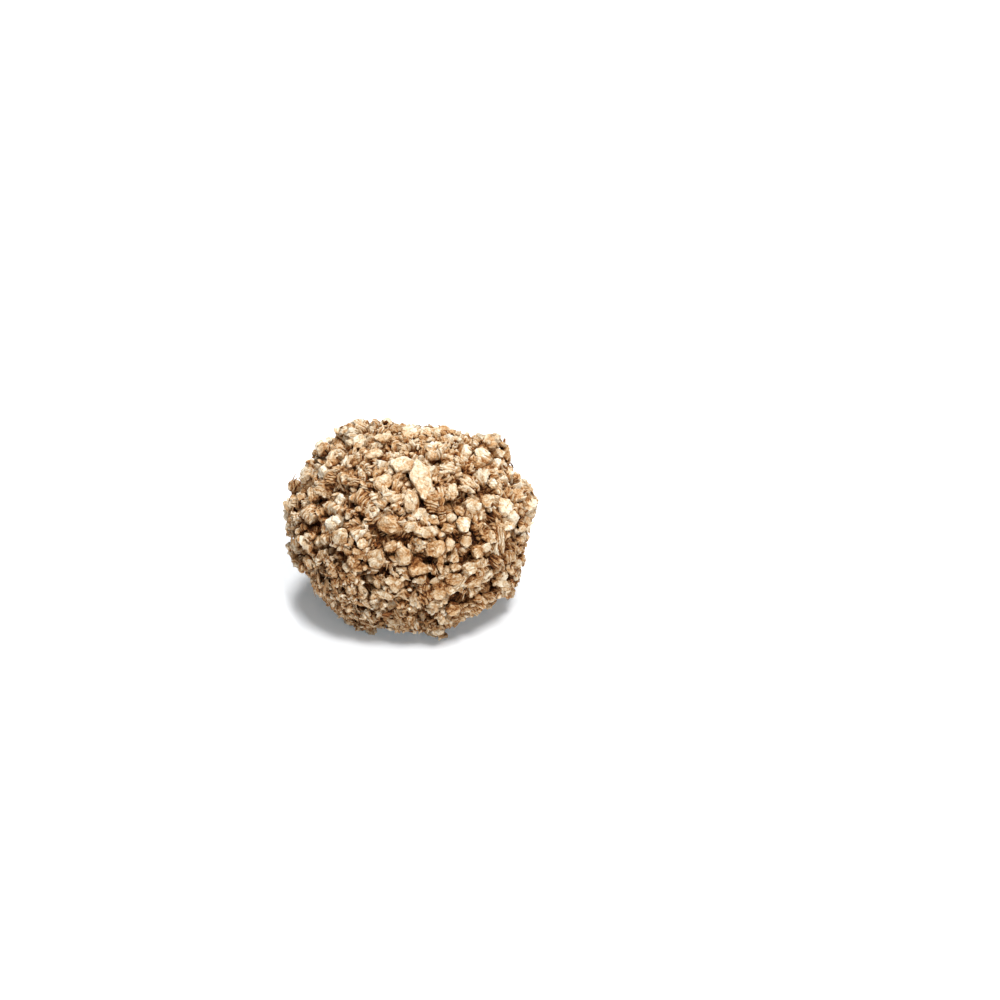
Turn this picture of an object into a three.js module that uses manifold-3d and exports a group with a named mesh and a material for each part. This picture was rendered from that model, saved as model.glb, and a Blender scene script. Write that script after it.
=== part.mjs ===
// A clump of plant-fibre cat litter: a squat, lopsided ball of crumbly granules that have swollen and
// bonded into one lump, flat underneath where it formed against the floor of its tray.
// Millimetres, +Z up. The origin is the middle of the flat underside; +X runs across the clump's
// widest extent and -Y faces the viewer.
import * as THREE from "three";
import { mergeVertices } from "three/addons/utils/BufferGeometryUtils.js";
import Module from "manifold-3d";

const wasm = await Module();
wasm.setup();

// Overall size of the finished clump
const clumpWidth = 64;
const clumpDepth = 60;
const clumpHeight = 47;
const baseFlat = 4; // depth of the round underside that the flat base takes away
const boxiness = 2.1; // exponent of the packed body: 2 is an ellipsoid, more is squarer

// Lumps where the clump stands out of its even round form: height in mm, the rest in degrees
const bulges = [
  { azimuth: 32, elevation: 37, height: 3.4, spread: 16 }, // upper right, towards the back
  { azimuth: 141, elevation: 42, height: 2.8, spread: 24 }, // upper left, towards the back
  { azimuth: -65, elevation: -38, height: 2.4, spread: 16 }, // low at the front
];

// One granule of the mean size
const granuleLength = 7.8;
const granuleWidth = 6.6;
const granuleThickness = 5.4;
const sizeSpread = 0.25; // share by which each of a granule's sizes is more or less than the mean
const skew = 0.22; // share of a granule's size by which its corners are out of square

// How the granules sit on one another
const granulePitch = 6.8; // distance between neighbours, measured over the packed body
const standProud = 1.6; // distance from the packed body out to a granule's middle, at most
const bodyInset = 5; // depth of the packed body's surface under the overall size
const bodyFacets = 3; // cuts along each edge of the icosahedron that the packed body starts from

// The first of the random sequences that each trait of a granule draws on
const trait = { size: 1, turn: 4, lift: 7, corner: 10 };

// A repeatable number from -1 to 1 for one granule, by the common hash of a steep sine wave
function swing(index, sequence) {
  const wave = Math.sin(index * 12.9898 + sequence * 78.233) * 43758.5453;
  return 2 * (wave - Math.floor(wave)) - 1;
}

// Three such numbers, from three sequences in a row
function swings(index, first) {
  return new THREE.Vector3(swing(index, first), swing(index, first + 1), swing(index, first + 2));
}

// Half sizes of the packed body before its base is cut, and the height of its middle
const half = new THREE.Vector3(
  clumpWidth / 2 - bodyInset,
  clumpDepth / 2 - bodyInset,
  (clumpHeight + baseFlat) / 2 - bodyInset,
);
const middle = new THREE.Vector3(0, 0, (clumpHeight - baseFlat) / 2);

// The unit vector at an azimuth from +X and an elevation above the horizon, both in degrees
function heading(azimuth, elevation) {
  const [turn, rise] = [azimuth, elevation].map(THREE.MathUtils.degToRad);
  const level = Math.cos(rise);
  return new THREE.Vector3(level * Math.cos(turn), level * Math.sin(turn), Math.sin(rise));
}

// How far the bulges lift the surface in a direction, each fading as a bell curve
function lift(direction) {
  return bulges.reduce((total, bulge) => {
    const away = direction.angleTo(heading(bulge.azimuth, bulge.elevation));
    const widths = away / THREE.MathUtils.degToRad(bulge.spread);
    return total + bulge.height * Math.exp(-widths * widths);
  }, 0);
}

// The point, from the body's middle, where a ray leaves the packed body
function onBody(direction) {
  const shares = ["x", "y", "z"].map((axis) => Math.abs(direction[axis] / half[axis]) ** boxiness);
  const reach = (shares[0] + shares[1] + shares[2]) ** (-1 / boxiness);
  return direction.clone().multiplyScalar(reach + lift(direction));
}

// A geometry with only its corners left, each of them once
function cornersOnly(geometry) {
  geometry.deleteAttribute("normal");
  geometry.deleteAttribute("uv");
  return mergeVertices(geometry);
}

// Moves every corner of a geometry to where `place` sends it
function reshape(geometry, place) {
  const corners = geometry.attributes.position;
  for (let i = 0; i < corners.count; i++) {
    const moved = place(new THREE.Vector3().fromBufferAttribute(corners, i), i);
    corners.setXYZ(i, moved.x, moved.y, moved.z);
  }
  return geometry;
}

// A closed geometry as a solid that can be joined and cut
function solidOf(geometry) {
  const corners = cornersOnly(geometry);
  return new wasm.Manifold(
    new wasm.Mesh({
      numProp: 3,
      vertProperties: corners.attributes.position.array,
      triVerts: new Uint32Array(corners.index.array),
    }),
  );
}

// A solid as a geometry
function geometryOf(solid) {
  const mesh = solid.getMesh();
  const geometry = new THREE.BufferGeometry();
  geometry.setAttribute("position", new THREE.BufferAttribute(mesh.vertProperties, 3));
  geometry.setIndex(new THREE.BufferAttribute(mesh.triVerts, 1));
  return geometry;
}

// The bonded inside of the clump: an icosphere drawn out to the body's form
function packedBody() {
  const ball = new THREE.IcosahedronGeometry(1, bodyFacets);
  return solidOf(reshape(ball, (corner) => onBody(corner.normalize()).add(middle)));
}

// Directions spread evenly over a sphere, as seeds are on a sunflower's head
function spreadDirections(count) {
  const goldenAngle = Math.PI * (3 - Math.sqrt(5));
  return Array.from({ length: count }, (_, i) => {
    const height = 1 - (2 * i + 1) / count;
    const ring = Math.sqrt(1 - height * height);
    const turn = goldenAngle * i;
    return new THREE.Vector3(ring * Math.cos(turn), ring * Math.sin(turn), height);
  });
}

// One angular crumb: a block knocked out of square, with its own three sizes, lying at random
function granule(index, direction) {
  const crumb = cornersOnly(new THREE.BoxGeometry(1, 1, 1));
  reshape(crumb, (corner, i) => corner.addScaledVector(swings(index, trait.corner + 3 * i), skew));
  const share = swings(index, trait.size).multiplyScalar(sizeSpread).addScalar(1);
  crumb.scale(share.x * granuleLength, share.y * granuleWidth, share.z * granuleThickness);
  const turn = new THREE.Euler().setFromVector3(swings(index, trait.turn).multiplyScalar(Math.PI));
  crumb.applyMatrix4(new THREE.Matrix4().makeRotationFromEuler(turn));
  const proud = (standProud * (1 + swing(index, trait.lift))) / 2;
  const seat = onBody(direction).addScaledVector(direction, proud).add(middle);
  return solidOf(crumb.translate(seat.x, seat.y, seat.z));
}

// Everything below the floor that the clump formed against
function floorBlock() {
  const side = 2 * Math.max(clumpWidth, clumpDepth, clumpHeight);
  return solidOf(new THREE.BoxGeometry(side, side, side).translate(0, 0, -side / 2));
}

// Granules all over the body, joined to it and trimmed flat underneath.
// A pocket that the granules seal off is a separate inside-out body, so the largest body leaves it solid.
function clumpSolid() {
  const bodyArea = (4 / 3) * Math.PI * (half.x * half.y + half.y * half.z + half.z * half.x);
  const count = Math.round(bodyArea / granulePitch ** 2);
  const granules = spreadDirections(count).map((direction, i) => granule(i, direction));
  const joined = granules.reduce((clump, crumb) => clump.add(crumb), packedBody());
  const trimmed = joined.subtract(floorBlock());
  return trimmed.decompose().reduce((a, b) => (b.volume() > a.volume() ? b : a));
}

// The finished clump, brought to its overall size with its base centred on the origin
function clumpGeometry() {
  const geometry = geometryOf(clumpSolid());
  geometry.computeBoundingBox();
  const size = geometry.boundingBox.getSize(new THREE.Vector3());
  const centre = geometry.boundingBox.getCenter(new THREE.Vector3());
  geometry.translate(-centre.x, -centre.y, 0);
  geometry.scale(clumpWidth / size.x, clumpDepth / size.y, clumpHeight / size.z);
  geometry.computeVertexNormals();
  return geometry;
}

const plantFibre = new THREE.MeshStandardMaterial({
  color: 0xc9a87c,
  roughness: 0.95,
  metalness: 0,
  flatShading: true,
});

const clump = new THREE.Mesh(clumpGeometry(), plantFibre);
clump.name = "litter_clump";

const part = new THREE.Group();
part.add(clump);
export default part;
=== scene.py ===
import math

import bpy
import numpy as np
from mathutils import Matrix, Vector


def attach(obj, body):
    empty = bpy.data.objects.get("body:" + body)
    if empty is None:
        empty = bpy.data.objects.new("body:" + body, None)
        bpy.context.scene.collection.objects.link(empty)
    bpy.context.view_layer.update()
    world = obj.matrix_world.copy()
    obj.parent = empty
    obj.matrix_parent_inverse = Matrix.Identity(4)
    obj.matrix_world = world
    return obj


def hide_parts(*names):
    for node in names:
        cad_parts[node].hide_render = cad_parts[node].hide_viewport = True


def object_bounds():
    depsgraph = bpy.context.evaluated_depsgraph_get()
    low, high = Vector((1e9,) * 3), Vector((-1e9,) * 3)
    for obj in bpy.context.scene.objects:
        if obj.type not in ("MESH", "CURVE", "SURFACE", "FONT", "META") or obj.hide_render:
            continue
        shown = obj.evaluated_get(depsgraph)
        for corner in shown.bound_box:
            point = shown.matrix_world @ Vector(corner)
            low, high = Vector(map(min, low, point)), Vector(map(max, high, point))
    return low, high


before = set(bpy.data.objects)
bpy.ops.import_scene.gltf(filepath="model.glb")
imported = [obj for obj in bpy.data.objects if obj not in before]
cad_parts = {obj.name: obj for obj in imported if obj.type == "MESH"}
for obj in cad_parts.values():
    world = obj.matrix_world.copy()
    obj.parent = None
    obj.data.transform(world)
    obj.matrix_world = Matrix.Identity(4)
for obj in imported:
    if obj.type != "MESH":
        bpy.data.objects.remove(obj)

# A clump of plant-fibre cat litter, made crumb by crumb: the crumbs are packed into the clump's form,
# then each becomes a stack of flakes or a solid chip, with grit in the gaps and loose fibres on top.
# Lengths below are in millimetres unless a comment says otherwise, and become metres as Blender gets them.

mm = 0.001
tiny = 1e-6  # keeps a distance from being 0
cadLow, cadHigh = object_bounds()

# The clump's outer form: a superellipsoid with a few lumps, cut flat by the floor
clumpForm = {
    "baseFlat": 4.0,  # how much of the round underside the floor takes away
    "boxiness": 2.1,  # 2 is an ellipsoid, more is squarer
    "proud": 0.5,  # the form is this much smaller, as corners and fibres stand out past it
    "bulges": [  # azimuth and elevation in degrees, height (less than 0 is a dent), spread in degrees
        (35, 33, 3.8, 10),  # the horn at the upper right
        (18, 24, -2.2, 9),
        (141, 42, 3.9, 22),
        (168, 10, 2.0, 12),
        (9, 13, 1.2, 10),
        (-9, -12, -5.3, 11),
        (-18, -24, 1.4, 10),
        (52, 41, -3.6, 9),
        (91, 48, -2.4, 12),
        (-49, -41, -5.2, 11),
        (-156, -29, -1.0, 16),
        (-104, -53, -2.6, 13),
        (-171, -12, 2.6, 12),
        (-133, -46, 2.8, 11),
        (-69, -44, 3.6, 10),
    ],
}
clumpSize = (np.array(cadHigh) - np.array(cadLow)) / mm
clumpHalf = (clumpSize + [0, 0, clumpForm["baseFlat"]]) / 2
clumpMiddle = np.array([0, 0, clumpSize[2] - clumpHalf[2]])


def unit(vectors):
    return vectors / np.linalg.norm(vectors, axis=-1, keepdims=True)


def heading(azimuth, elevation):
    turn, rise = math.radians(azimuth), math.radians(elevation)
    return np.array([math.cos(rise) * math.cos(turn), math.cos(rise) * math.sin(turn), math.sin(rise)])


# A bell curve round one heading, 1 in its middle: exp(-(angle/spread)^2), with the angles in degrees
def bell(directions, azimuth, elevation, spread):
    away = np.degrees(np.arccos(np.clip(directions @ heading(azimuth, elevation), -1, 1)))
    return np.exp(-((away / spread) ** 2))


# How far the clump's surface lies from its middle along each unit direction:
# (sum of |d/half|^n)^(-1/n), plus a bell curve for each lump
def clumpReach(directions):
    power = clumpForm["boxiness"]
    reach = (np.abs(directions / clumpHalf) ** power).sum(-1) ** (-1 / power) - clumpForm["proud"]
    for azimuth, elevation, height, spread in clumpForm["bulges"]:
        reach = reach + height * bell(directions, azimuth, elevation, spread)
    return reach


# Camera: it looks down at the clump's front from far off, because the photograph's perspective is flat
shot = {
    "elevation": 35,  # degrees
    "distance": 705,
    "lens": 100,
    "sensor": 36,
    "framePixels": 1000,
    "clumpPixel": (412, 520),  # where the middle of the clump's box lies in the frame
    "nearest": 10,  # what lies nearer or farther than these isn't drawn
    "farthest": 10000,
}
riseAngle = math.radians(shot["elevation"])
shotRight = np.array([1.0, 0, 0])
shotUp = np.array([0, math.sin(riseAngle), math.cos(riseAngle)])
shotBack = np.array([0, -math.cos(riseAngle), math.sin(riseAngle)])
pixelSize = shot["distance"] * shot["sensor"] / shot["lens"] / shot["framePixels"]  # at the clump
offCentre = np.array(shot["clumpPixel"]) - shot["framePixels"] / 2
shotPlace = (
    np.array([0, 0, clumpSize[2] / 2])
    + shotBack * shot["distance"]
    - shotRight * offCentre[0] * pixelSize
    + shotUp * offCentre[1] * pixelSize
)


def makeCamera():
    camera = bpy.data.objects.new("camera", bpy.data.cameras.new("camera"))
    bpy.context.scene.collection.objects.link(camera)
    camera.data.lens = shot["lens"]
    camera.data.sensor_width = shot["sensor"]
    camera.data.clip_start = shot["nearest"] * mm
    camera.data.clip_end = shot["farthest"] * mm
    camera.location = shotPlace * mm
    camera.rotation_euler = (math.pi / 2 - riseAngle, 0, 0)
    bpy.context.scene.camera = camera


makeCamera()
print("camera set, one pixel is", round(pixelSize, 4), "mm at the clump")


# The point on the clump's outer form that shows at each pixel. A ray from the camera has one point outside
# the form and one nearest its middle, and the stretch between them is halved until it ends on the surface.
def pointsAtPixels(pixels, halvings=40, outside=1.3):
    across = (np.array(pixels, float) - shot["framePixels"] / 2) * pixelSize / shot["distance"]
    rays = unit(shotRight * across[:, :1] - shotUp * across[:, 1:] - shotBack)
    toMiddle = clumpMiddle - shotPlace
    far = (rays * toMiddle).sum(-1)  # where a ray passes nearest the middle
    near = far - clumpHalf.max() * outside
    for _ in range(halvings):
        half = (near + far) / 2
        spot = shotPlace + rays * half[:, None] - clumpMiddle
        inside = np.linalg.norm(spot, axis=-1) < clumpReach(unit(spot))
        near, far = np.where(inside, near, half), np.where(inside, half, far)
    return shotPlace + rays * far[:, None]


# Crumbs that stand out in the photograph, picked and judged: pixel, size along, across and out of
# the face, turn of the long side in degrees, tone. A layered one has its layers stacked along its turn.
toneSteps = {"pale": 0.75, "light": 0.66, "mid": 0.56, "tan": 0.46}  # from 0 dark to 1 pale
standouts = {
    "slab": [  # two flat lobes that lie side by side
        ((404, 465), (6.4, 4.2, 3.0), -6, "light"),
        ((422, 480), (10.8, 5.4, 3.2), -76, "light"),
    ],
    "chips": [
        ((410, 431), (4.4, 4.0, 3.4), 15, "pale"),
        ((359, 441), (4.3, 4.0, 2.8), 40, "pale"),
        ((384, 436), (5.0, 3.0, 2.6), 5, "light"),
        ((374, 453), (4.6, 2.6, 2.6), 10, "light"),
        ((376, 473), (2.6, 2.6, 2.6), 0, "mid"),
        ((382, 482), (5.2, 3.6, 3.0), 25, "light"),
        ((389, 525), (6.0, 4.8, 4.0), 0, "mid"),
        ((389, 497), (3.2, 2.6, 2.6), 10, "light"),
        ((411, 501), (6.4, 4.0, 3.4), -85, "light"),
        ((434, 520), (2.4, 2.4, 2.4), 0, "mid"),
        ((453, 491), (4.2, 2.6, 2.6), 80, "light"),
        ((474, 507), (4.4, 4.2, 3.2), 30, "light"),
        ((506, 506), (5.0, 4.2, 3.0), 70, "pale"),
        ((514, 517), (4.4, 3.4, 2.8), -50, "pale"),
        ((464, 525), (4.2, 3.8, 2.8), 60, "pale"),
        ((484, 455), (4.6, 4.2, 3.0), -30, "pale"),
        ((448, 456), (3.2, 2.6, 2.4), 20, "light"),
        ((431, 446), (3.4, 2.6, 2.4), -30, "pale"),
        ((491, 441), (4.6, 3.8, 3.4), 60, "mid"),  # the tip of the horn
        ((494, 483), (3.2, 2.4, 2.2), 60, "pale"),
        ((520, 494), (4.6, 3.4, 3.0), 0, "light"),
        ((466, 488), (3.2, 2.0, 2.0), 10, "light"),
        ((338, 538), (4.6, 4.3, 3.2), 20, "light"),
        ((375, 559), (4.8, 4.6, 3.4), -35, "mid"),
        ((358, 554), (3.2, 2.6, 2.6), 0, "tan"),
        ((351, 562), (3.5, 3.5, 3.0), 30, "tan"),
        ((403, 557), (4.6, 4.6, 3.4), 60, "mid"),
        ((394, 584), (4.6, 4.2, 3.2), -20, "mid"),
        ((384, 596), (4.6, 2.0, 2.0), -20, "light"),
        ((430, 532), (5.4, 3.4, 2.8), -15, "light"),
        ((435, 550), (5.6, 4.4, 3.2), 25, "mid"),
        ((449, 546), (4.0, 2.6, 2.6), 75, "mid"),
        ((418, 570), (5.4, 4.6, 3.4), -15, "tan"),
        ((471, 569), (4.0, 3.5, 3.0), 0, "pale"),
        ((454, 559), (2.4, 2.2, 2.2), 0, "light"),
        ((455, 568), (2.4, 2.3, 2.2), 0, "light"),
        ((454, 580), (4.4, 3.2, 2.8), -10, "mid"),
        ((439, 593), (4.4, 4.2, 3.2), 70, "mid"),
        ((450, 591), (3.2, 2.8, 2.6), -30, "mid"),
        ((475, 583), (5.4, 3.2, 2.8), 10, "mid"),
        ((434, 611), (2.9, 2.2, 2.2), 0, "mid"),
        ((453, 611), (3.6, 3.2, 2.8), 0, "tan"),
        ((441, 620), (2.6, 2.2, 2.2), 80, "mid"),
        ((438, 632), (3.4, 2.8, 2.6), -20, "light"),  # the crumb that hangs lowest
        ((510, 526), (3.2, 2.0, 2.0), 10, "pale"),
        ((491, 537), (3.8, 3.6, 3.2), 0, "mid"),
        ((467, 541), (2.8, 2.8, 2.6), 80, "light"),
        ((479, 553), (3.2, 3.2, 2.6), 0, "mid"),
        ((441, 564), (4.8, 1.6, 2.0), 85, "mid"),
        ((449, 528), (2.9, 2.8, 2.6), 0, "mid"),
        ((506, 587), (2.8, 2.8, 2.6), 0, "mid"),
        ((361, 544), (2.9, 2.8, 2.6), 30, "light"),
        ((390, 547), (3.1, 2.8, 2.4), 0, "mid"),
        ((410, 527), (4.0, 2.4, 2.4), 0, "light"),
        ((339, 500), (3.0, 2.4, 2.2), 80, "pale"),
        ((312, 494), (4.0, 2.4, 2.4), 85, "mid"),
        ((356, 458), (3.4, 2.8, 2.6), 70, "mid"),
        ((338, 454), (3.2, 2.4, 2.4), -15, "light"),
        ((330, 461), (3.4, 3.4, 2.8), 0, "mid"),
        ((322, 447), (3.4, 2.8, 2.6), 70, "mid"),
        ((396, 486), (4.0, 2.5, 2.4), 80, "mid"),
        ((488, 500), (3.6, 3.2, 2.6), 80, "light"),
        ((460, 511), (3.2, 2.4, 2.4), -20, "mid"),
        ((498, 464), (3.4, 2.6, 2.6), 80, "pale"),
    ],
    "layered": [
        ((361, 499), (4.2, 5.0, 3.6), -30, "mid"),
        ((307, 514), (4.4, 5.0, 4.0), -40, "light"),
        ((330, 477), (3.2, 3.2, 2.8), 85, "mid"),
        ((352, 480), (2.8, 4.0, 2.8), 85, "mid"),
        ((434, 504), (5.0, 4.4, 3.4), 75, "mid"),
        ((427, 599), (4.2, 3.6, 3.2), 30, "tan"),
        ((501, 540), (2.2, 8.0, 3.0), 5, "light"),
        ((497, 562), (3.4, 4.4, 3.0), 60, "tan"),
    ],
    "hollows": [  # pixel and radius of a gap that is kept clear of crumbs
        ((407, 476), 1.8),  # under the pale slab's two lobes
        ((421, 506), 1.6),
        ((374, 432), 1.3),
        ((350, 468), 1.1),
        ((347, 504), 1.4),
        ((375, 490), 1.1),
        ((361, 516), 1.3),
        ((405, 515), 1.4),
        ((371, 526), 1.4),
        ((305, 527), 2.0),
        ((315, 530), 1.8),
        ((320, 517), 1.1),
        ((378, 457), 1.0),
        ((438, 484), 1.2),
        ((459, 481), 1.3),
        ((469, 465), 1.3),
        ((467, 498), 1.1),
        ((490, 489), 1.3),
        ((487, 512), 1.1),
        ((439, 527), 1.3),
        ((523, 518), 1.2),
        ((339, 557), 1.6),
        ((382, 574), 2.0),
        ((392, 605), 1.9),
        ((408, 582), 1.3),
        ((406, 604), 1.4),
        ((391, 536), 1.5),
        ((405, 541), 1.4),
        ((379, 541), 1.6),
        ((388, 556), 1.3),
        ((366, 565), 1.1),
        ((387, 622), 1.4),
        ((358, 591), 1.3),
        ((420, 557), 1.4),
        ((422, 610), 1.4),
        ((457, 539), 1.8),
        ((479, 539), 2.0),
        ((470, 557), 1.7),
        ((432, 562), 1.6),
        ((432, 577), 1.6),
        ((460, 605), 2.0),
        ((471, 604), 1.9),
        ((431, 621), 1.5),
        ((507, 550), 1.2),
    ],
}


# Outward directions of the places that show at the pixels, and the places, both from the clump's middle
def onSurface(pixels):
    spots = pointsAtPixels(pixels) - clumpMiddle
    directions = unit(spots)
    reach = np.minimum(np.linalg.norm(spots, axis=-1), clumpReach(directions))
    return directions, directions * reach[:, None]


# One side of the clump, low at the front, is made of finer crumbs than the rest
fineZone = {
    "toward": (-130, -14),  # azimuth and elevation in degrees
    "spread": 32,  # degrees
    "shrink": 0.42,  # how much smaller the other crumbs are in its middle
    "count": 380,  # finer crumbs that are added there
    "scatter": 0.7,  # how far these are scattered, as a share of the spread
    "diameter": (1.3, 2.3),
}


def inFineZone(directions):  # 1 in the zone's middle, fading as a bell curve
    return bell(directions, *fineZone["toward"], fineZone["spread"])


# Packing: balls of three grades are pushed apart until they fill the outer shell of the clump.
# The crumbs that stand out and the hollows between them are there first, and stay where they are.
packing = {
    "seed": 11,
    "shell": 4.5,  # depth of the shell that is packed
    "grades": [(60, 4.2, 5.4), (820, 2.9, 4.3), (850, 1.5, 2.8)],  # count, least and greatest diameter
    "bond": 0.84,  # share of the sum of two radii at which two crumbs rest on each other
    "sunk": 1.0,  # share of its radius by which a crumb's middle stays under the clump's outer form
    "heldSunk": 0.3,  # the same for a crumb that stands out, as a share of its size out of the face
    "slabSunk": 0.06,  # the pale slab lies on top
    "hollowSunk": 0.6,  # and for a hollow, as a share of its radius
    "overFloor": 0.8,  # least height of a crumb's middle, as a share of its radius
    "rounds": 100,
    "step": 0.28,  # share of an overlap that one round takes away
    "pull": 0.1,  # how far one round draws in a crumb that touches no other, until it rests on one
    "surfaceCover": 2.2,  # a crumb with less than this over it is at the surface
}


# Middles and radii of the crumbs that stand out. Each middle lies under the form by a share of the crumb's
# size out of its face, and the radius is half of the middle one of its three sizes.
def heldCrumbs(style):
    held = standouts["slab"] + standouts["chips"] + standouts["layered"]
    sizes = np.array([size for _, size, _, _ in held])
    sunk = np.full((len(held), 1), style["heldSunk"])
    sunk[: len(standouts["slab"])] = style["slabSunk"]
    directions, spots = onSurface([pixel for pixel, *_ in held])
    return spots - directions * sizes[:, 2:] * sunk, np.sort(sizes, axis=1)[:, 1] / 2


def keptHollows(style):  # their middles and radii
    directions, spots = onSurface([pixel for pixel, _ in standouts["hollows"]])
    radii = np.array([radius for _, radius in standouts["hollows"]])
    return spots - directions * radii[:, None] * style["hollowSunk"], radii


# The loose crumbs before they are packed: in every direction, smaller in the fine zone and with more of
# them there, each at a random depth in the shell
def looseCrumbs(style):
    rng = np.random.default_rng(style["seed"])
    radii = np.concatenate([rng.uniform(low, high, count) / 2 for count, low, high in style["grades"]])
    directions = unit(rng.normal(size=(len(radii), 3)))
    radii = radii * (1 - fineZone["shrink"] * inFineZone(directions))
    scatter = math.radians(fineZone["spread"]) * rng.normal(size=(fineZone["count"], 3))
    finer = unit(heading(*fineZone["toward"]) + fineZone["scatter"] * scatter)
    directions = np.concatenate([directions, finer])
    radii = np.concatenate([radii, rng.uniform(*fineZone["diameter"], fineZone["count"]) / 2])
    depth = style["shell"] * rng.uniform(0, 1, len(radii))
    return directions * (clumpReach(directions) - depth)[:, None], radii


# Each round moves crumbs that overlap apart, along the line between them, by a share of the overlap,
# draws in those that touch nothing, and keeps all of them in the shell and over the floor
def packCrumbs(style):
    heldPlaces, heldRadii = heldCrumbs(style)
    gapPlaces, gapRadii = keptHollows(style)
    places, radii = looseCrumbs(style)
    held, fixed = len(heldRadii), len(heldRadii) + len(gapRadii)
    places = np.concatenate([heldPlaces, gapPlaces, places]).astype(np.float32)
    radii = np.concatenate([heldRadii, gapRadii, radii]).astype(np.float32)
    meet = (radii[:, None] + radii[None, :]) * style["bond"]
    for _ in range(style["rounds"]):
        square = (places**2).sum(1)
        apart = np.sqrt(np.maximum(square[:, None] + square[None, :] - 2 * places @ places.T, tiny))
        push = np.maximum(meet - apart, 0) / apart
        np.fill_diagonal(push, 0)
        moved = places + style["step"] * (places * push.sum(1)[:, None] - push @ places)
        away = np.linalg.norm(moved, axis=1)
        directions = moved / away[:, None]
        away = away - style["pull"] * (push.sum(1) == 0)
        most = clumpReach(directions) - radii * style["sunk"]
        moved = directions * np.clip(away, most - style["shell"], most)[:, None]
        moved[:, 2] = np.maximum(moved[:, 2], radii * style["overFloor"] - clumpMiddle[2])
        places[fixed:] = moved[fixed:]
    places = np.delete(places, np.arange(held, fixed), 0)
    radii = np.delete(radii, np.arange(held, fixed))
    cover = clumpReach(unit(places)) - np.linalg.norm(places, axis=1) - radii
    return places + clumpMiddle, radii, cover, held, gapPlaces + clumpMiddle, gapRadii


crumbPlaces, crumbRadii, crumbCover, heldCount, hollowPlaces, hollowRadii = packCrumbs(packing)
atSurface = crumbCover < packing["surfaceCover"]
print("packed", len(crumbRadii), "crumbs,", int(atSurface.sum()), "of them at the surface")

# Shade that is worked into the tones, so that the gaps between crumbs are darker than their faces
shade = {
    "nearest": 28,  # how many crumbs round a point are counted
    "behind": 0.25,  # a crumb counts until it lies this far behind the point's outer side, as a cosine
    "mostFilled": 0.96,  # greatest (radius/distance)^2, for a point that lies inside a crumb
    "strength": 2.2,
    "hollowFloor": 0.8,  # how far the floor of a hollow is shut off
    "crevice": 0.67,  # how far a place that is shut off altogether is moved down the tones
}


# How open each point is, from 1 out in the light to 0 deep in a gap: every crumb near it shuts off its own
# share of the sky, half of 1 - sqrt(1 - (radius/distance)^2), by how far it lies on the point's outer side,
# and the floor of a hollow is shut off in a bell curve. The first few crumbs, which skip counts, are the
# point's own.
def openness(spots, centres, skip, floorShade):
    square = ((centres[:, None] - crumbPlaces[None]) ** 2).sum(-1)
    near = np.argsort(square, axis=1)[:, skip : skip + shade["nearest"]]
    points = spots.reshape(len(spots), -1, 1, 3)
    toward = crumbPlaces[near][:, None] - points
    distance = np.linalg.norm(toward, axis=-1)
    outward = unit(points - centres[:, None, None] + tiny)
    facing = (toward * outward).sum(-1) / distance
    side = np.clip((facing + shade["behind"]) / (1 + shade["behind"]), 0, 1)
    filled = np.minimum((crumbRadii[near][:, None] / distance) ** 2, shade["mostFilled"])
    shut = 0.5 * (1 - np.sqrt(1 - filled))
    floors = hollowPlaces + unit(clumpMiddle - hollowPlaces) * hollowRadii[:, None]
    deep = np.exp(-(((points - floors) ** 2).sum(-1) / hollowRadii**2)).max(-1)
    lit = np.exp(-shade["strength"] * (shut * side).sum(-1)) * (1 - floorShade * deep)
    return lit.reshape(spots.shape[:-1])


def shaded(tone, spots, centres, skip, floorShade=shade["hollowFloor"]):  # the tone, darker in the gaps
    return tone - shade["crevice"] * (1 - openness(spots, centres, skip, floorShade))


# A closed grid's points as (shapes, points): the first row's pole, the rings, then the last row's pole
def polesAndRings(grid):
    rings = grid[:, 1:-1].reshape(len(grid), -1, *grid.shape[3:])
    return np.concatenate([grid[:, :1, 0], rings, grid[:, -1:, 0]], axis=1)


# Faces of one closed grid: triangles round the poles and quads between the rings. Gives the corners of all
# faces in a row, where each corner lies on the bake map in columns and rows, and how many each face has.
def closedFaces(rows, columns):
    column = np.arange(columns)
    after = (column + 1) % columns
    ring = np.arange(rows - 3)[:, None]
    quads = 1 + np.stack([
        ring * columns + column,
        (ring + 1) * columns + column,
        (ring + 1) * columns + after,
        ring * columns + after,
    ], -1).reshape(-1, 4)
    last = 1 + (rows - 3) * columns  # first point of the last ring
    top = np.stack([np.zeros(columns, int), 1 + column, 1 + after], -1)
    bottom = np.stack([np.full(columns, last + columns), last + after, last + column], -1)
    quadMap = np.stack(np.broadcast_arrays(
        np.stack([column, column, column + 1, column + 1], -1)[None],
        np.stack([ring + 1, ring + 2, ring + 2, ring + 1], -1),
    ), -1)
    topMap = np.stack(np.broadcast_arrays(
        np.stack([column + 0.5, column, column + 1], -1),
        np.array([0, 1, 1]),
    ), -1)
    bottomMap = np.stack(np.broadcast_arrays(
        np.stack([column + 0.5, column + 1, column], -1),
        np.array([rows - 1, rows - 2, rows - 2]),
    ), -1)
    corners = np.concatenate([quads.ravel(), top.ravel(), bottom.ravel()])
    cornerMap = np.concatenate([part.reshape(-1, 2) for part in (quadMap, topMap, bottomMap)])
    return corners, cornerMap, np.concatenate([np.full(len(quads), 4), np.full(2 * columns, 3)])


bakeMargin = 0.06  # left free on each side of a cell of the bake map, as a share of the cell
crispAngle = 32  # degrees: an edge that turns more than this stays crisp


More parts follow.
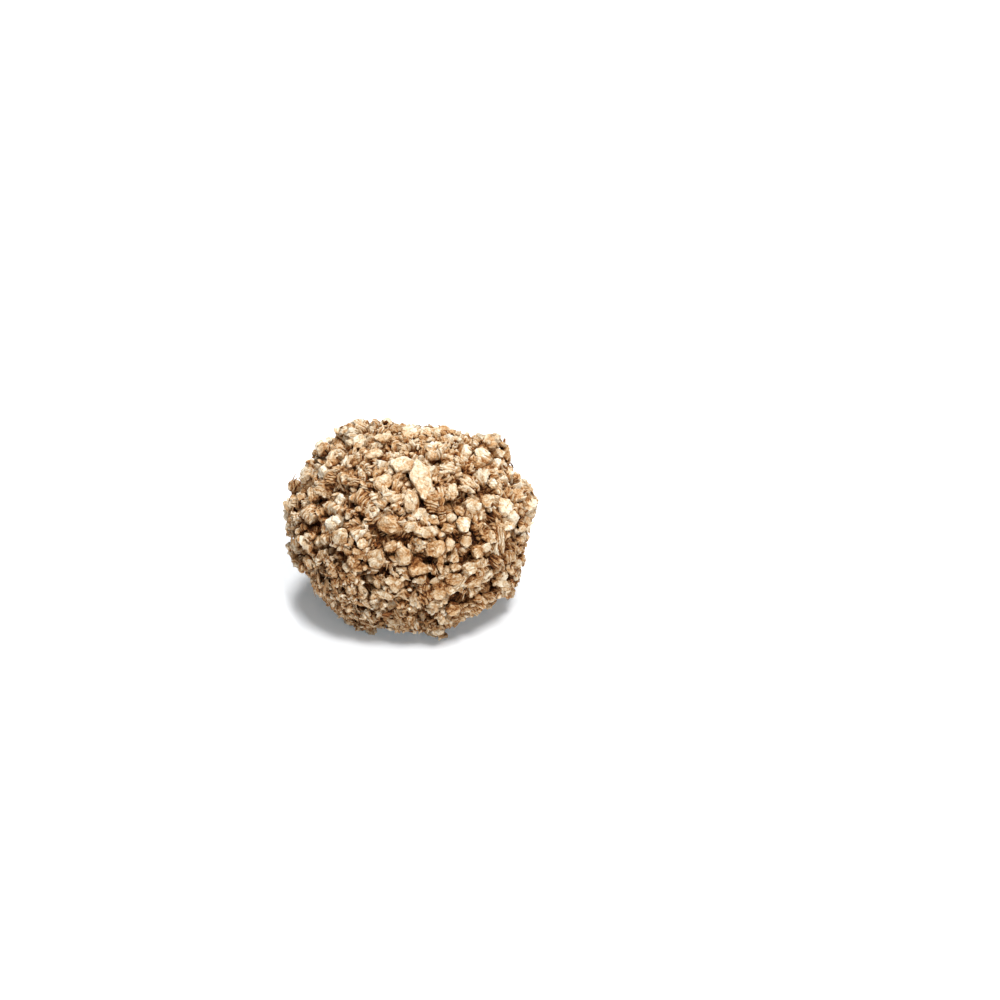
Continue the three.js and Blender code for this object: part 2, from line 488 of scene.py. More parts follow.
# Puts closed grids into one mesh. spots is (shapes, rows, columns, 3): the first and last rows are poles,
# which each become one point, and the columns run right round. Every shape gets its own cell of the bake
# map, and each of the values becomes an attribute of the points.
def buildPiece(name, spots, values, material, smooth=True):
    shapes, rows, columns = spots.shape[:3]
    points = polesAndRings(spots)
    perShape = points.shape[1]
    corners, cornerMap, sizes = closedFaces(rows, columns)
    allCorners = (corners + (np.arange(shapes) * perShape)[:, None]).ravel()
    allSizes = np.tile(sizes, shapes)
    mesh = bpy.data.meshes.new(name)
    mesh.vertices.add(shapes * perShape)
    mesh.vertices.foreach_set("co", (points * mm).astype(np.float32).ravel())
    mesh.loops.add(len(allCorners))
    mesh.loops.foreach_set("vertex_index", allCorners.astype(np.int32))
    mesh.polygons.add(len(allSizes))
    mesh.polygons.foreach_set("loop_start", (np.cumsum(allSizes) - allSizes).astype(np.int32))
    mesh.polygons.foreach_set("use_smooth", np.full(len(allSizes), smooth))
    cells = math.ceil(math.sqrt(shapes))  # along each side of the bake map
    cell = np.stack(np.divmod(np.arange(shapes), cells), -1)[:, None]
    inCell = bakeMargin + (1 - 2 * bakeMargin) * cornerMap / [columns, rows - 1]
    bakeMap = mesh.uv_layers.new(name="OFBake")
    bakeMap.uv.foreach_set("vector", ((cell + inCell) / cells).astype(np.float32).ravel())
    for key, grid in values.items():
        flat = polesAndRings(np.broadcast_to(grid, spots.shape[:3] + grid.shape[3:]))
        valueType, slot = ("FLOAT_VECTOR", "vector") if flat.ndim == 3 else ("FLOAT", "value")
        attribute = mesh.attributes.new(key, valueType, "POINT")
        attribute.data.foreach_set(slot, flat.astype(np.float32).ravel())
    mesh.update()
    mesh.validate()
    if smooth:
        mesh.set_sharp_from_angle(angle=math.radians(crispAngle))
    mesh.materials.append(material)
    piece = bpy.data.objects.new(name, mesh)
    bpy.context.scene.collection.objects.link(piece)
    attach(piece, "root")
    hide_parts("litter_clump")
    print(name, ":", shapes, "shapes,", int((allSizes - 2).sum()), "triangles")


# sRGB hex to the linear colour that shaders take: a share up to 0.04045 is divided by 12.92, and a greater
# one is ((share + 0.055)/1.055)^2.4
def colour(text):
    shares = np.array([int(text[i : i + 2], 16) for i in (1, 3, 5)]) / 255
    linear = np.where(shares <= 0.04045, shares / 12.92, ((shares + 0.055) / 1.055) ** 2.4)
    return (*linear, 1.0)


# Adds a node, sets its properties and inputs, and links the inputs that are given as sockets
def addNode(tree, kind, inputs=None, **settings):
    node = tree.nodes.new(kind)
    for key, value in settings.items():
        setattr(node, key, value)
    for key, value in (inputs or {}).items():
        if isinstance(value, bpy.types.NodeSocket):
            tree.links.new(value, node.inputs[key])
        else:
            node.inputs[key].default_value = value
    return node


# Pressed plant fibre: chopped straw and wood pulp, dried and crushed. Matt, with pale cream faces, tan
# sides, dark brown in the gaps where painted shade lowers the tone, and a fine grain that runs along the
# layers.
plantFibre = {
    "stops": [  # along the tone
        (0.0, "#2e1202"),
        (0.2, "#744219"),
        (0.4, "#ae8152"),
        (0.6, "#c9ad89"),
        (0.8, "#e1d2b8"),
        (1.0, "#f0e6d4"),
    ],
    "lineLength": 2.6,
    "lineWidth": 0.42,  # the real grain is finer, and is drawn as coarse as it needs to show
    "lineBend": 0.8,  # how far the lines wander
    "linesFrom": 0.36,  # the noise is stretched between these two, which draws the lines sharper
    "linesTo": 0.62,
    "lineShare": 0.26,  # how far a line moves the colour along the stops
    "speckle": 0.42,  # size of the specks, drawn coarser in the same way
    "speckleShare": 0.6,
    "roughness": 0.92,
    "specular": 0.2,
    "relief": 0.34,  # height of the grain
    "lineRelief": 0.6,  # height of the lines, as a share of the specks' height
}


def plantFibreMaterial(style):
    material = bpy.data.materials.new("pressed plant fibre")
    material.use_nodes = True
    tree = material.node_tree
    shader = tree.nodes["Principled BSDF"]
    tone = addNode(tree, "ShaderNodeAttribute", attribute_name="tone")
    grain = addNode(tree, "ShaderNodeAttribute", attribute_name="grain")  # in the crumb's own axes
    along = addNode(tree, "ShaderNodeMapping", {
        "Vector": grain.outputs["Vector"],
        "Scale": (1 / style["lineLength"], 1 / style["lineLength"], 1 / style["lineWidth"]),
    })
    layers = addNode(tree, "ShaderNodeTexNoise", {
        "Vector": along.outputs["Vector"], "Scale": 1.0, "Detail": 2.0, "Roughness": 0.55,
        "Distortion": style["lineBend"]})
    lines = addNode(tree, "ShaderNodeMapRange", {
        "Value": layers.outputs["Fac"], "From Min": style["linesFrom"], "From Max": style["linesTo"]})
    speckle = addNode(tree, "ShaderNodeTexNoise", {
        "Vector": grain.outputs["Vector"], "Scale": 1 / style["speckle"], "Detail": 2.0, "Roughness": 0.65})
    withLines = addNode(tree, "ShaderNodeMath", {
        0: lines.outputs["Result"],
        1: style["lineShare"],
        2: tone.outputs["Fac"],
    }, operation="MULTIPLY_ADD")
    withSpecks = addNode(tree, "ShaderNodeMath", {
        0: speckle.outputs["Fac"],
        1: style["speckleShare"],
        2: withLines.outputs[0],
    }, operation="MULTIPLY_ADD")
    centred = addNode(tree, "ShaderNodeMath", {
        0: withSpecks.outputs[0],
        1: (style["lineShare"] + style["speckleShare"]) / 2,
    }, operation="SUBTRACT")
    ramp = addNode(tree, "ShaderNodeValToRGB", {"Fac": centred.outputs[0]})
    stops = ramp.color_ramp.elements
    for place, _ in style["stops"][1:-1]:
        stops.new(place)
    for stop, (place, text) in zip(stops, style["stops"]):
        stop.position = place
        stop.color = colour(text)
    tree.links.new(ramp.outputs["Color"], shader.inputs["Base Color"])
    relief = addNode(tree, "ShaderNodeMath", {
        0: lines.outputs["Result"],
        1: style["lineRelief"],
        2: speckle.outputs["Fac"],
    }, operation="MULTIPLY_ADD")
    bump = addNode(tree, "ShaderNodeBump", {
        "Height": relief.outputs[0], "Distance": style["relief"] * mm, "Strength": 1.0})
    tree.links.new(bump.outputs["Normal"], shader.inputs["Normal"])
    shader.inputs["Roughness"].default_value = style["roughness"]
    shader.inputs["Specular IOR Level"].default_value = style["specular"]
    return material


fibreMaterial = plantFibreMaterial(plantFibre)
grainShift = (-50, 50)  # moves each crumb's grain to a place of its own in the pattern


# A tone for each crumb: the mean plus the spread times a normal number, between the least tone and 1
def randomTones(rng, tones, count):
    mean, spread, least = tones
    return np.clip(mean + spread * rng.normal(size=count), least, 1)


# A crumb's own axes: the third is given, and the other two are turned about it at random
def axesAbout(rng, across):
    along = unit(np.cross(across, rng.normal(size=across.shape)))
    return np.stack([along, np.cross(across, along), across], 1)


# The third axis lies across a crumb's layers: the more lie is above 0 the more it points out of the clump,
# so that a flat face shows, and below 0 it turns away from that, so that the layers' edges show
def crumbAxes(rng, outward, lie):
    across = unit(rng.normal(size=outward.shape))
    out = outward if lie > 0 else outward * (across * outward).sum(-1, keepdims=True)
    return axesAbout(rng, unit(across + lie * out))


def turned(local, axes):  # from a crumb's own axes to the clump's
    return np.einsum("n...i,nij->n...j", local, axes)


# Nothing goes through the floor: what would is pressed flat on it
def onFloor(spots, floor=0):
    spots[..., 2] = np.maximum(spots[..., 2], floor)
    return spots


# Unit directions over a ball, in rows from pole to pole and columns right round, and each row's polar angle
def ballDirections(rows, columns):
    polar = np.linspace(0, math.pi, rows)[:, None]
    turn = np.linspace(0, 2 * math.pi, columns, endpoint=False)
    parts = np.sin(polar) * np.cos(turn), np.sin(polar) * np.sin(turn), np.cos(polar)
    return np.stack(np.broadcast_arrays(*parts), -1), polar


# An angular outline: the inside of several straight sides, (sum of (cos/side)^n)^(-1/n) at each angle,
# where cos is to the side's direction and side is its distance
def angularOutline(angles, sideAngles, sideDistances, sharpness):
    facing = np.maximum(np.cos(angles - sideAngles), 0)
    return ((facing / sideDistances) ** sharpness).sum(-1) ** (-1 / sharpness)


waves = {
    "count": 5,
    "pace": (0.7, 1.5),  # share of the wavelength's own pace
    "phase": (0, 6.3),  # radians
}


# A smooth random field: the sum of sine waves in random directions, about -1 to 1. Its absolute value has
# creases along the lines where it is 0.
def lumpy(rng, local, wavelength):
    shape = (len(local),) + (1,) * (local.ndim - 2)
    total = 0
    for _ in range(waves["count"]):
        pace = rng.uniform(*waves["pace"], shape) * 2 * math.pi / wavelength
        toward = unit(rng.normal(size=shape + (3,)))
        total = total + np.sin((local * toward).sum(-1) * pace + rng.uniform(*waves["phase"], shape))
    return total / math.sqrt(waves["count"] / 2)


# Flaky crumbs: each is a stack of thin flakes of one angular outline, slid and tipped on one another.
# A flake is a flat profile carried round the outline, with a curl across it and a low wave along it.
flaky = {
    "layers": 5,
    "columns": 14,
    "sides": 6,
    "sideTurn": 0.3,  # radians, how far a side is turned from its even place
    "sideReach": (0.7, 1.0),  # distance of the sides, as a share of the radius
    "flakeReach": (0.76, 1.16),  # and of each flake's sides, as a share of that
    "sharpness": 12,
    "profile": [(0, 1), (0.7, 1), (0.92, 0.6), (1, 0), (0.92, -0.6), (0.7, -1), (0, -1)],  # radius, height
    "covered": 0.95,  # another flake covers a face up to this share of the radius
    "lie": 0.3,
    "stretch": (0.85, 1.2),
    "height": (0.8, 1.1),  # of the whole stack, as a share of its diameter
    "uneven": (0.45, 1.55),  # thickness of a flake, as a share of the mean
    "swell": 1.1,  # the flakes are this much thicker than their share, so that they press together
    "taper": 0.35,
    "taperPower": 2.2,
    "slide": 0.16,
    "tip": 0.14,
    "curl": 0.25,
    "waveHeight": 0.08,
    "waveLength": 2.1,
    "wavePhase": (0, 6),  # radians
    "ragged": 0.05,
    "groove": 0.16,  # painted shade: how much darker it is between two flakes
    "toneSpread": 0.06,  # between the flakes of one crumb
}


def flakyCrumbs(name, places, radii, tones, seed, style):
    rng = np.random.default_rng(seed)
    count, layers, columns, sides = len(radii), style["layers"], style["columns"], style["sides"]
    size = radii[:, None, None]  # beside layers and columns
    angles = np.linspace(0, 2 * math.pi, columns, endpoint=False)
    sideAngles = np.arange(sides) * 2 * math.pi / sides
    sideAngles = sideAngles + rng.uniform(-style["sideTurn"], style["sideTurn"], (count, 1, 1, sides))
    reach = rng.uniform(*style["sideReach"], (count, 1, 1, sides))
    reach = reach * rng.uniform(*style["flakeReach"], (count, layers, 1, sides))
    rim = angularOutline(angles[:, None], sideAngles, reach, style["sharpness"])
    rim = rim * (1 + style["ragged"] * rng.normal(size=rim.shape))
    thick = rng.uniform(*style["uneven"], (count, layers))
    thick = thick / thick.sum(1, keepdims=True)
    level = 2 * (np.cumsum(thick, 1) - thick / 2) - 1  # middle of each flake, from -1 at the foot to 1
    rim = rim * (1 - style["taper"] * np.abs(level[..., None]) ** style["taperPower"]) * size
    stretch = rng.uniform(*style["stretch"], (count, 1, 1))
    share, rise = np.array(style["profile"]).T
    x = rim[:, :, None] * share[:, None] * (np.cos(angles) * stretch)[:, None]
    y = rim[:, :, None] * share[:, None] * (np.sin(angles) / stretch)[:, None]
    height = rng.uniform(*style["height"], (count, 1, 1, 1)) * size[..., None]
    z = height * (level[..., None, None] + style["swell"] * thick[..., None, None] * rise[:, None])
    slide = style["slide"] * rng.normal(size=(2, count, layers, 1, 1)) * size[..., None]
    x, y = x + slide[0], y + slide[1]
    tip = style["tip"] * rng.normal(size=(2, count, layers, 1, 1))
    bend = style["curl"] * rng.normal(size=(count, 1, 1, 1)) / size[..., None]
    phase = rng.uniform(*style["wavePhase"], (count, 1, 1, 1))
    wave = style["waveHeight"] * np.sin(2 * math.pi * x / style["waveLength"] + phase)
    z = z + tip[0] * x + tip[1] * y + bend * y**2 + wave
    local = np.stack([x, y, z], -1)
    axes = crumbAxes(rng, unit(places - clumpMiddle), style["lie"])
    spots = onFloor(turned(local, axes) + places[:, None, None, None])
    order = np.arange(layers)[:, None]
    hasNext = np.where(rise > 0, order < layers - 1, order > 0)
    between = hasNext * (share < style["covered"])  # faces that another flake covers
    tone = tones[:, None, None, None] + rng.normal(0, style["toneSpread"], (count, layers, 1, 1))
    # painted shade: the faces that another flake covers are drawn darker
    tone = tone - style["groove"] * between[None, :, :, None]
    grain = local + rng.uniform(*grainShift, (count, 1, 1, 1, 3))
    flat = (count * layers,) + spots.shape[2:4]
    buildPiece(name, spots.reshape(*flat, 3), {
        "tone": shaded(tone, spots, places, 1).reshape(flat),
        "grain": grain.reshape(*flat, 3),
    }, fibreMaterial)


# Solid chips: a flat block of about five sides with worn edges. It reaches (sum of (facing/plane)^n)^(-1/n)
# over the planes of its sides and of its two flat faces. It has low lumps parted by creases, and a layered
# one has a row of grooves, (1 - |sin(pi*height/pitch)|)^m deep, where the layers' edges come out.
chips = {
    "rows": 16,
    "columns": 24,
    "sides": 5,
    "uneven": 0.32,  # how far the sides are turned from even places, as a share of the angle between them
    "slant": 0.35,  # how far the sides lean
    "faceSlant": 0.2,  # how far the two flat faces lean
    "sideReach": (0.7, 1.0),  # distance of the sides, as a share of the radius
    "leastFacing": 0.01,  # leaves out the planes that face away
    "sharpness": 36,
    "reach": 1.3,  # no corner lies farther out than this share of the radius
    "lie": 1.1,
    "flat": (0.5, 0.85),  # distance of the two flat faces, as a share of the radius
    "stretch": (0.85, 1.2),
    "lump": 0.28,  # height of the lumps
    "lumpSize": 2.4,
    "lumpShares": (0.8, 0.9),  # of the coarse lumps, and of fine ones of half their size
    "lumpMiddle": 1.0,  # taken off, so that the lumps lie about the block's own surface
    "lumpTone": 0.07,  # how much paler the lumps are
    "drawnOut": (0.45, 1.0, 1.0),  # where this is less than 1 the lumps are longer, and run as folds
    "crease": 0.2,  # painted shade: how much darker it is in the creases between them
    "creaseWidth": 0.3,
    "floorShade": shade["hollowFloor"],
    "groove": 0.0,  # depth of the grooves between layers
    "grooveTone": 0.45,  # painted shade: how much darker it is in them
    "grooveSharpness": 1.5,
    "grooveFade": 4,  # the higher, the nearer the grooves come to the flat faces
    "pitch": (0.75, 1.15),  # distance between grooves
    "waver": 0.3,  # how far the layers bend, and over what length
    "waverSize": 3.5,
    "smooth": True,
    "ownBall": 1,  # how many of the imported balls, from the nearest, the chip itself fills
    "towardCamera": 0.9,  # how far a crumb that stands out is turned from facing outwards to the camera
}


def chipPlanes(rng, count, style):
    sides = style["sides"]
    turn = (np.arange(sides) + style["uneven"] * rng.uniform(-1, 1, (count, sides))) * 2 * math.pi / sides
    tilt = style["slant"] * rng.normal(size=(count, sides))
    side = np.stack([np.cos(turn) * np.cos(tilt), np.sin(turn) * np.cos(tilt), np.sin(tilt)], -1)
    upAndDown = np.array([[0, 0, 1.0], [0, 0, -1.0]])
    face = unit(upAndDown + style["faceSlant"] * rng.normal(size=(count, 2, 3)))
    distance = [rng.uniform(*style["sideReach"], (count, sides)), rng.uniform(*style["flat"], (count, 2))]
    return np.concatenate([side, face], 1), np.concatenate(distance, 1)


def solidChips(name, places, radii, tones, seed, style, axes=None, sizes=None):
    rng = np.random.default_rng(seed)
    count = len(radii)
    direction, polar = ballDirections(style["rows"], style["columns"])
    planes, distance = chipPlanes(rng, count, style)
    facing = np.maximum(np.einsum("rci,nki->nrck", direction, planes), style["leastFacing"])
    reach = ((facing / distance[:, None, None]) ** style["sharpness"]).sum(-1) ** (-1 / style["sharpness"])
    reach = np.minimum(reach, style["reach"])
    stretch = rng.uniform(*style["stretch"], (count, 3))
    stretch = stretch / stretch.prod(1, keepdims=True) ** (1 / 3)
    local = direction * (reach * radii[:, None, None])[..., None] * stretch[:, None, None]
    if sizes is not None:
        span = local.max((1, 2)) - local.min((1, 2))
        local = local * (sizes / span)[:, None, None]
    coarse = np.abs(lumpy(rng, local * style["drawnOut"], style["lumpSize"]))
    fine = np.abs(lumpy(rng, local, style["lumpSize"] / 2))
    coarseShare, fineShare = style["lumpShares"]
    lumps = coarseShare * coarse + fineShare * fine - style["lumpMiddle"]
    crease = np.exp(-((coarse / style["creaseWidth"]) ** 2))
    pitch = rng.uniform(*style["pitch"], (count, 1, 1))
    level = local[..., 2] + style["waver"] * lumpy(rng, local, style["waverSize"])
    groove = (1 - np.abs(np.sin(math.pi * level / pitch))) ** style["grooveSharpness"]
    groove = groove * (1 - np.cos(polar) ** style["grooveFade"]) * (style["groove"] > 0)
    local = local + direction * (style["lump"] * lumps - style["groove"] * groove)[..., None]
    if axes is None:
        axes = crumbAxes(rng, unit(places - clumpMiddle), style["lie"])
    spots = onFloor(turned(local, axes) + places[:, None, None])
    tone = tones[:, None, None] + style["lumpTone"] * lumps
    # painted shade: darker in the creases between lumps and in the grooves between layers
    tone = tone - style["crease"] * crease - style["grooveTone"] * groove
    tone = shaded(tone, spots, places, style["ownBall"], style["floorShade"])
    grain = local + rng.uniform(*grainShift, (count, 1, 1, 3))
    buildPiece(name, spots, {"tone": tone, "grain": grain}, fibreMaterial, style["smooth"])


layered = dict(chips, rows=26, columns=14, groove=0.34, flat=(0.8, 1.0), lie=-0.8)

# The crumbs that stand out have a closer grid than the others, and the slab's two lobes are smoother
standoutChips = dict(
    chips, rows=24, columns=36, sharpness=60, reach=1.15, lump=0.18, floorShade=0.2, crease=0.13)
standoutSlab = dict(
    standoutChips, rows=40, columns=60, uneven=0.15, slant=0.15, sideReach=(0.8, 1.0), sharpness=8,
    reach=1.3, lumpSize=3.4, crease=0.05, drawnOut=(0.8, 1.0, 1.0), towardCamera=0.6)
standoutLayered = dict(layered, rows=44, columns=26, lump=0.16, floorShade=0.2, crease=0.1)


# A chip's flat face looks out of the clump and a little towards the camera, and a layered crumb's layers
# stack along its turn across the picture
def standoutAxes(places, turns, isStack, towardCamera):
    outward = unit(places - clumpMiddle)
    turns = np.radians(turns)[:, None]
    long = shotRight * np.cos(turns) + shotUp * np.sin(turns)
    face = unit(outward + towardCamera * shotBack)
    long = unit(long - face * (long * face).sum(-1, keepdims=True))
    wide = np.cross(face, long)
    return np.stack([wide, face, long] if isStack else [long, wide, face], 1)


def standoutCrumbs(group, style, first, seed):
    pixels, sizes, turns, tones = zip(*standouts[group])
    sizes, tones = np.array(sizes), np.array([toneSteps[tone] for tone in tones])
    span = slice(first, first + len(pixels))
    isStack = group == "layered"
    axes = standoutAxes(crumbPlaces[span], turns, isStack, style["towardCamera"])
    sizes = sizes[:, [1, 2, 0]] if isStack else sizes
    solidChips("standout_" + group, crumbPlaces[span], crumbRadii[span], tones, seed, style, axes, sizes)
    return span.stop  # where the next group starts


chipsFrom = standoutCrumbs("slab", standoutSlab, first=0, seed=40)
layeredFrom = standoutCrumbs("chips", standoutChips, first=chipsFrom, seed=41)
standoutCrumbs("layered", standoutLayered, first=layeredFrom, seed=42)

# The other crumbs: which of them are flaky, layered or solid chips, and how pale each is
mix = {
    "seed": 5,
    "flakyTo": 0.22,  # of a number from 0 to 1: flaky under this, layered from here on,
    "layeredTo": 0.62,  # and a solid chip from here on
    "tones": (0.66, 0.065, 0.0),  # mean, spread, least
    "topLightFootShade": 0.08,  # painted light and shade: how much paler the top is, and how much darker the foot
    "bigRadius": 1.5,  # larger crumbs have a closer grid
    "highShare": 0.55,  # of the clump's height, where the upper crumbs start
    "firstPieceSeed": 51,
}
mixRng = np.random.default_rng(mix["seed"])
crumbTones = randomTones(mixRng, mix["tones"], len(crumbRadii))
# painted light on the upper crumbs and painted shade on the lower ones, by height
crumbTones = crumbTones + mix["topLightFootShade"] * (2 * crumbPlaces[:, 2] / clumpSize[2] - 1)
draw = mixRng.uniform(size=len(crumbRadii))
isFlaky = draw < mix["flakyTo"]
isLayered = (draw >= mix["flakyTo"]) & (draw < mix["layeredTo"])
isChip = draw >= mix["layeredTo"]
isBig = crumbRadii > mix["bigRadius"]
isHigh = crumbPlaces[:, 2] > clumpSize[2] * mix["highShare"]
isFree = np.arange(len(crumbRadii)) >= heldCount
smallFlaky = dict(flaky, layers=3, columns=10, profile=[(0, 1), (0.85, 0.7), (1, 0), (0.85, -0.7), (0, -1)])
smallLayered = dict(layered, rows=14, columns=9, groove=0.2, pitch=(0.6, 0.9))
smallChips = dict(
    chips, rows=8, columns=10, sides=4, lump=0.14, lumpSize=1.8, flat=(0.35, 0.7), stretch=(0.7, 1.4))
buriedChips = dict(chips, rows=6, columns=8, lump=0.1)
crumbPieces = [
    ("flaky_crumbs", flakyCrumbs, atSurface & isFlaky & isBig, flaky),
    ("small_flaky_crumbs", flakyCrumbs, atSurface & isFlaky & ~isBig, smallFlaky),
    ("upper_layered_crumbs", solidChips, atSurface & isLayered & isBig & isHigh, layered),
    ("lower_layered_crumbs", solidChips, atSurface & isLayered & isBig & ~isHigh, layered),
    ("small_layered_crumbs", solidChips, atSurface & isLayered & ~isBig, smallLayered),
    ("upper_chips", solidChips, atSurface & isChip & isBig & isHigh, chips),
    ("lower_chips", solidChips, atSurface & isChip & isBig & ~isHigh, chips),
    ("small_chips", solidChips, atSurface & isChip & ~isBig, smallChips),
    ("buried_crumbs", solidChips, ~atSurface, buriedChips),
]
for number, (name, make, chosen, style) in enumerate(crumbPieces):
    chosen = chosen & isFree
    seed = mix["firstPieceSeed"] + number
    make(name, crumbPlaces[chosen], crumbRadii[chosen], crumbTones[chosen], seed, style)

# The bed: crumbs under all the others, that the gaps end on. They are spread evenly, as seeds on a
# sunflower's head: the height goes evenly from 1 to -1, and each is a golden angle on from the last.
bed = {
    "seed": 61,
    "count": 1000,
    "depth": 5.3,  # of their middles, under the clump's outer form
    "uneven": 0.8,
    "diameter": (3.2, 4.4),
    "tones": (0.6, 0.065, 0.0),
}


def bedCrumbs(style):
    rng = np.random.default_rng(style["seed"])
    count = style["count"]
    number = np.arange(count) + 0.5
    height = 1 - 2 * number / count
    goldenAngle = math.pi * (3 - math.sqrt(5))
    turn = goldenAngle * number
    ring = np.sqrt(1 - height**2)
    directions = np.stack([ring * np.cos(turn), ring * np.sin(turn), height], -1)
    radii = rng.uniform(*style["diameter"], count) / 2
    depth = style["depth"] + style["uneven"] * rng.uniform(-1, 1, count)
    places = directions * (clumpReach(directions) - depth)[:, None] + clumpMiddle
    places[:, 2] = np.maximum(places[:, 2], radii * packing["overFloor"])
    tones = randomTones(rng, style["tones"], count)
    solidChips("bed_crumbs", places, radii, tones, style["seed"] + 1, dict(buriedChips, ownBall=0))


bedCrumbs(bed)

# Grit: small bits caught in the gaps. Each comes in from outside along its own direction until it meets a
# crumb, and of many tries the ones that come to rest deepest are kept.
grit = {
    "seed": 71,
    "tries": 6000,
    "count": 520,
    "diameter": (0.8, 1.9),
    "touch": 0.9,  # share of the two radii at which a bit rests on a crumb
    "deepest": 5.0,  # a bit that would rest deeper is left out
    "overFloor": 0.7,  # least height of a bit's middle, as a share of its radius
    "offHollow": 0.6,  # share of its radius by which a bit's middle stays clear of the hollows
    "tones": (0.58, 0.1, 0.3),
}


def gritPlaces(style):
    rng = np.random.default_rng(style["seed"])
    directions = unit(rng.normal(size=(style["tries"], 3)))
    radii = rng.uniform(*style["diameter"], style["tries"]) / 2
    centres = crumbPlaces - clumpMiddle
    along = directions @ centres.T
    off = (centres**2).sum(1) - along**2  # squared distance from a crumb's middle to the line
    meet = ((radii[:, None] + crumbRadii) * style["touch"]) ** 2
    rest = np.where(meet > off, along + np.sqrt(np.maximum(meet - off, 0)), 0).max(1)
    depth = clumpReach(directions) - rest - radii
    kept = np.argsort(-depth)
    kept = kept[(depth[kept] < style["deepest"]) & (rest[kept] > 0)][: style["count"]]
    places, radii = directions[kept] * rest[kept][:, None] + clumpMiddle, radii[kept]
    places[:, 2] = np.maximum(places[:, 2], radii * style["overFloor"])
    apart = np.linalg.norm(places[:, None] - hollowPlaces, axis=-1)
    clear = (apart > hollowRadii + style["offHollow"] * radii[:, None]).all(1)
    return places[clear], radii[clear]


def gritBits(style):
    places, radii = gritPlaces(style)
    tones = randomTones(np.random.default_rng(style["seed"] + 1), style["tones"], len(radii))
    shape = dict(
        chips, rows=6, columns=8, sides=4, lump=0.05, lie=0.01, stretch=(0.6, 1.5), smooth=False, ownBall=0)
    solidChips("grit", places, radii, tones, style["seed"] + 2, shape)


gritBits(grit)


# A place on the outer side of each host crumb, and the way that the crumb's surface faces there
def placesOn(rng, host, style):
    outward = unit(crumbPlaces[host] - clumpMiddle)
    face = unit(outward + style["around"] * unit(rng.normal(size=outward.shape)))
    return crumbPlaces[host] + face * crumbRadii[host, None] * style["sunk"], face


# Flakes: small thin plates that cling to the crumbs all over, partly sunk in them
flakes = {
    "seed": 75,
    "count": 1000,
    "long": (1.0, 2.4),
    "wide": (0.7, 1.6),
    "thick": (0.3, 0.6),
    "hostCover": 1.4,  # a crumb that holds one has less than this over it
    "around": 0.75,  # how far round the crumb from its outer side a flake may lie
    "tilt": 0.55,  # how far a flake's face is tipped from the crumb's own surface
    "sunk": 0.94,  # distance of a flake from the crumb's middle, as a share of the crumb's radius
    "tones": (0.63, 0.1, 0.3),
}


def clingingFlakes(style):
    rng = np.random.default_rng(style["seed"])
    count = style["count"]
    host = rng.choice(np.flatnonzero(isFree & (crumbCover < style["hostCover"])), count)
    places, face = placesOn(rng, host, style)
    face = unit(face + style["tilt"] * rng.normal(size=(count, 3)))
    axes = axesAbout(rng, face)
    sizes = np.stack([rng.uniform(*style[key], count) for key in ("long", "wide", "thick")], -1)
    tones = randomTones(rng, style["tones"], count)
    shape = dict(chips, rows=6, columns=9, lump=0.04, smooth=False, ownBall=0)
    solidChips("clinging_flakes", places, sizes.mean(1) / 2, tones, style["seed"] + 1, shape, axes, sizes)


clingingFlakes(flakes)

# Slivers, each with its root in a crumb, that lie close to the surface: thin loose fibres, and broader
# flakes that curl over. A sliver is a small four-sided profile along an arc, pointed at both ends: its
# thickness goes as sin(pi*run)^n times (1 - point*run), with run 0 at the root and 1 at the tip.
fibres = {
    "seed": 91,
    "count": 750,
    "length": (1.4, 3.2),
    "thick": (0.17, 0.32),
    "broad": 1.8,  # width of a sliver, as a share of its thickness
    "rise": 0.22,  # how far a sliver points out of the clump
    "riseSpread": (0.3, 1.3),  # from sliver to sliver, as a share of that
    "sideBend": 0.35,
    "archBend": (-0.4, -0.12),
    "point": 0.3,  # how much thinner a sliver gets along its length
    "blunt": 0.4,  # the power n, less for a blunter end
    "runRange": (0.03, 0.985),  # run is kept in here, so that the ends don't get too thin
    "rows": 6,
    "hostCover": 1.2,  # a crumb that holds one has less than this over it
    "hostHeight": 3,  # and its middle is higher than this over the floor
    "around": 0.8,  # how far round the crumb from its outer side a root may lie
    "sunk": 0.8,  # distance of a root from the crumb's middle, as a share of the crumb's radius
    "evenShare": 0.3,  # how many lie all over, beside 1 at the foot that fades to 0 at the top
    "fineShare": 1.5,  # how many more lie in the middle of the fine zone
    "tones": (0.52, 0.1, 0.2),
}
curls = dict(
    fibres, seed=95, count=260, length=(1.6, 3.2), thick=(0.28, 0.45), broad=4.2, rise=0.3, sideBend=0.2,
    archBend=(-0.75, -0.35), point=0.15, rows=8)


